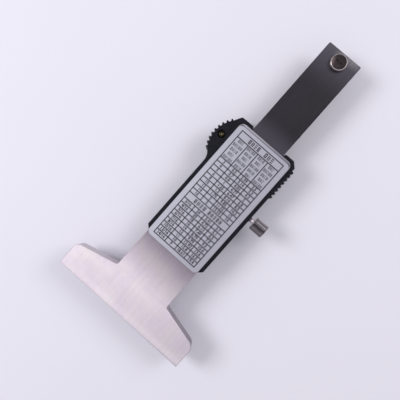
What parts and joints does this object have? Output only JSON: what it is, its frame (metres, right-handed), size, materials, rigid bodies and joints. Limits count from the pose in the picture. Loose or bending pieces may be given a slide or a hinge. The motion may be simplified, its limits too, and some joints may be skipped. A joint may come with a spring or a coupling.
{
  "type": "pit depth gauge",
  "caption": "Digital pit depth gauge with a T-shaped steel base, a sliding blade with a pointed nose, a display housing and a knurled lock screw.",
  "frame": {"origin": "centre of the T-base's measuring face, at half the blade's thickness, where the blade's point lies at zero depth", "axes": "+X along the blade away from the measuring face, +Y towards the toothed grip, +Z out of the label, away from the display"},
  "size_m": [0.1366, 0.0622, 0.014],
  "materials": {
    "slider_steel": "satin ground",
    "beam_steel": "brushed along the beam",
    "stop_screw_steel": "turned",
    "lock_screw_steel": "turned, fluted",
    "spring_steel": "rolled",
    "screw_steel": "plated",
    "brass_screw": "dull",
    "black_plastic": "moulded satin",
    "label_foil": "printed satin foil",
    "scale_film": "laminated film",
    "window_clear": "clear moulded",
    "display_glass": "grey-green display glass",
    "connector_rubber": "matt",
    "board_green": "lacquered",
    "chip_black": "potting compound",
    "contact_steel": "plated spring strip",
    "cell_steel": "plated can",
    "button_grey": "moulded satin"
  },
  "bodies": {
    "slider": {"slider_frame": "slider_steel", "gib_strip": "spring_steel", "gib_set_screws": "screw_steel", "housing_body": "black_plastic", "front_faceplate": "black_plastic", "back_label": "label_foil", "display_window": "window_clear", "display_glass": "display_glass", "connector_strips": "connector_rubber", "circuit_board": "board_green", "driver_chip": "chip_black", "switch_domes": "contact_steel", "battery_cell": "cell_steel", "minus_contact": "contact_steel", "plus_contact": "contact_steel", "cover_screws": "screw_steel", "grip_screw": "brass_screw"},
    "blade": {"beam": "beam_steel", "scale_strip": "scale_film", "stop_screw": "stop_screw_steel"},
    "lock": {"lock_screw": "lock_screw_steel"},
    "power_key": {"power_button": "button_grey"},
    "unit_key": {"unit_button": "button_grey"},
    "zero_key": {"zero_button": "button_grey"},
    "door": {"battery_door": "black_plastic"}
  },
  "joints": [
    {"name": "blade_slide", "type": "slide", "parent": "slider", "child": "blade", "axis": [-1, 0, 0], "range_m": [0, 0.03845]},
    {"name": "lock_screw_turn", "type": "hinge", "parent": "slider", "child": "lock", "pos_m": [0.063, -0.0196, 0], "axis": [0, 1, 0], "range_deg": [-720, 90]},
    {"name": "power_button_press", "type": "slide", "parent": "slider", "child": "power_key", "axis": [0, 0, 1], "range_m": [0, 0.0004], "stiffness_N_per_m": 2000, "springref_m": -0.0003},
    {"name": "unit_button_press", "type": "slide", "parent": "slider", "child": "unit_key", "axis": [0, 0, 1], "range_m": [0, 0.0004], "stiffness_N_per_m": 2000, "springref_m": -0.0003},
    {"name": "zero_button_press", "type": "slide", "parent": "slider", "child": "zero_key", "axis": [0, 0, 1], "range_m": [0, 0.0004], "stiffness_N_per_m": 2000, "springref_m": -0.0003},
    {"name": "battery_door_slide", "type": "slide", "parent": "slider", "child": "door", "axis": [1, 0, 0], "range_m": [0, 0.014]}
  ]
}
